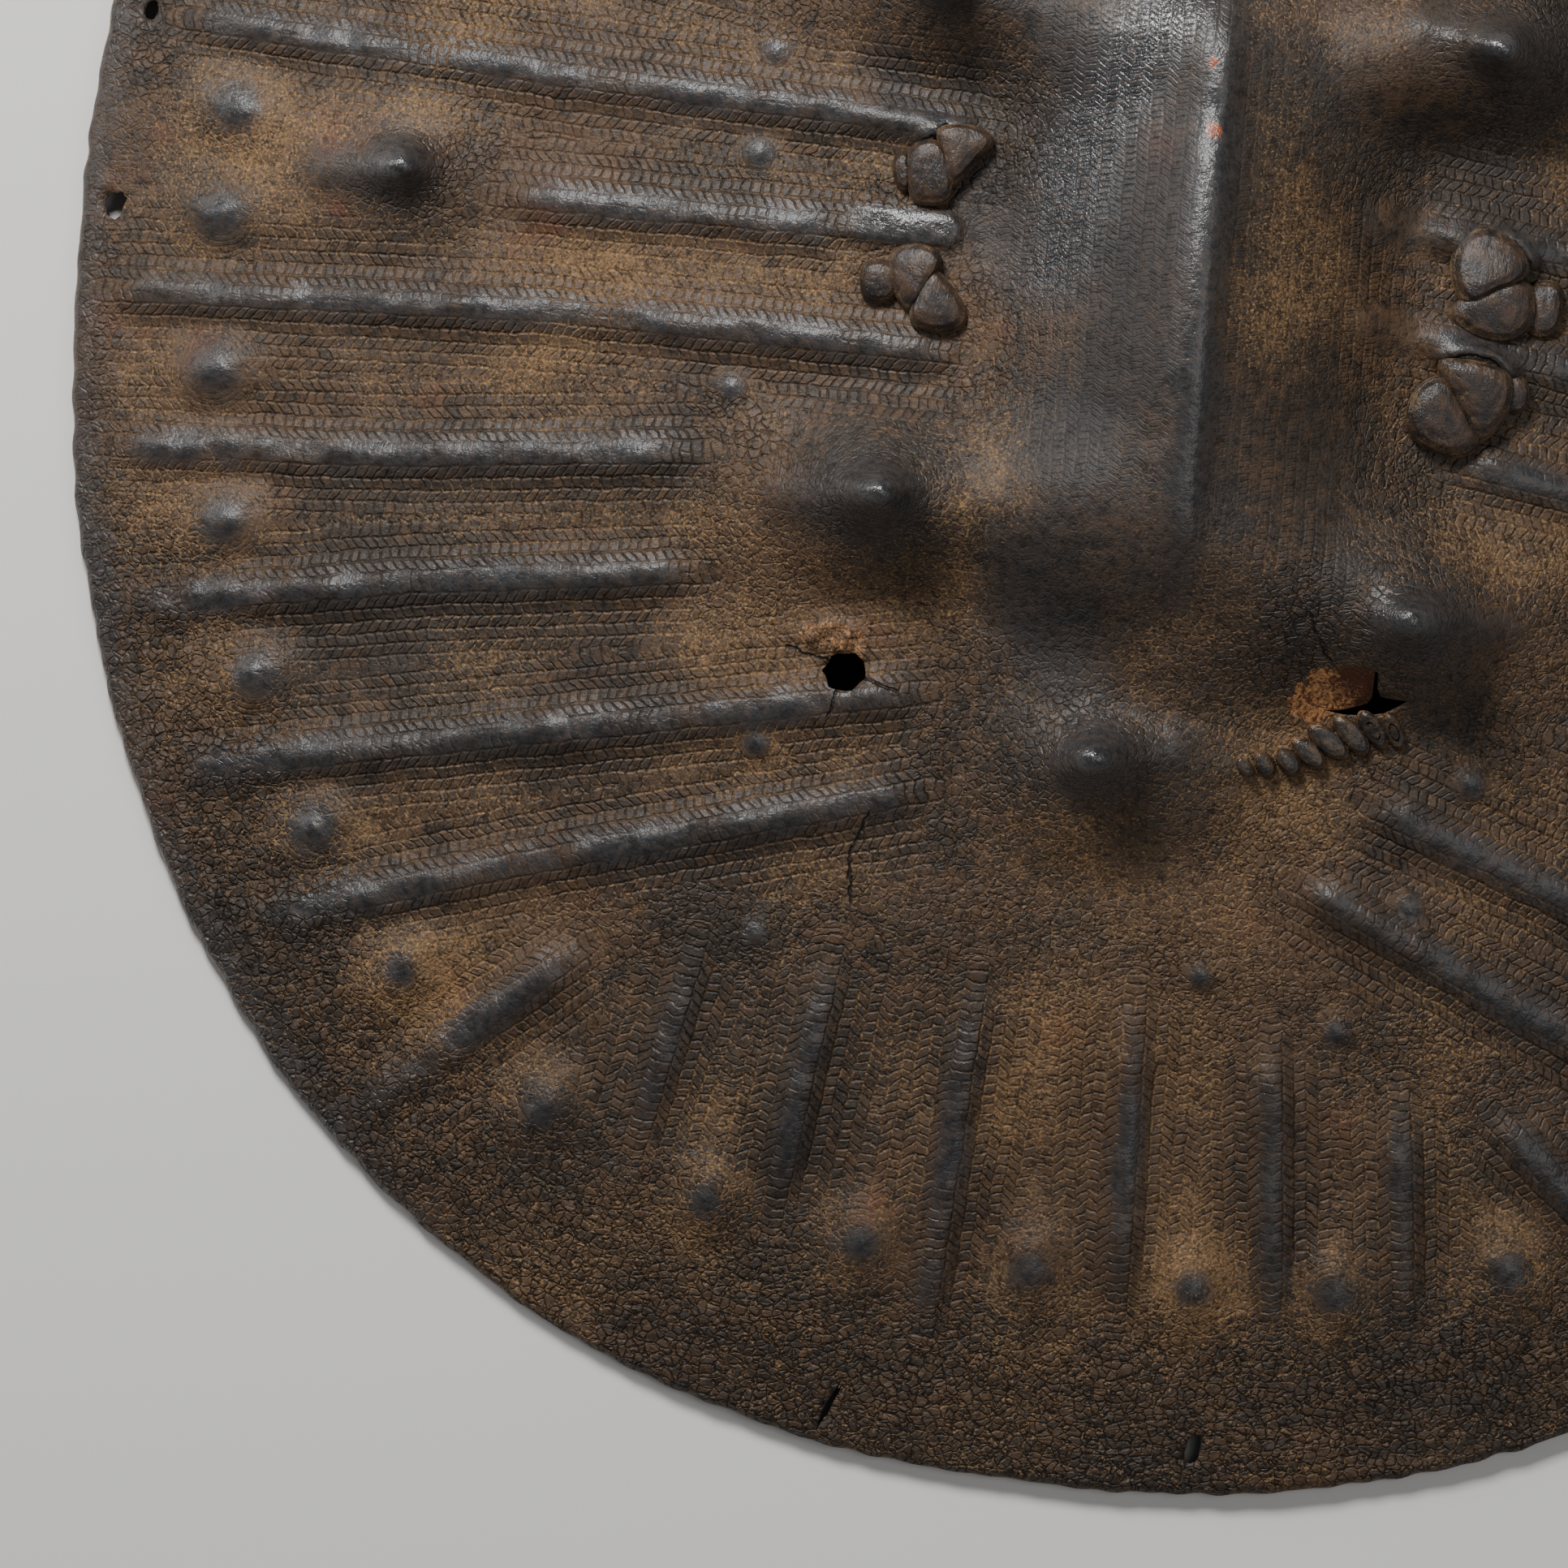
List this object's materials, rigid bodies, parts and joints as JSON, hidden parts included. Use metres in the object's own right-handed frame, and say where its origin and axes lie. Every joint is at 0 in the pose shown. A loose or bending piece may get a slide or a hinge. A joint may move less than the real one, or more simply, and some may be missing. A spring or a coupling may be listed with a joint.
{
  "type": "hide shield",
  "caption": "Round dished shield moulded from one thick hide, with a raised boss, tooled ridges and domes, knotted grip thongs and a laced repair.",
  "frame": {"origin": "middle of the shield's outline on the plane that its rim rests on", "axes": "+X across the face, +Y along the boss's spine towards the shield's top, +Z out of the face"},
  "size_m": [0.575, 0.63, 0.1199],
  "materials": {
    "hide": "dark tooled hide with ochre dust in its recesses and burnished tops",
    "thong": "glossy dark red-brown rawhide",
    "lace": "glossy near-black hide lace"
  },
  "bodies": {
    "root": {"hide_shell": "hide", "upper_grip_thong": "thong", "lower_grip_thong": "thong", "repair_lacing": "lace"}
  },
  "joints": []
}
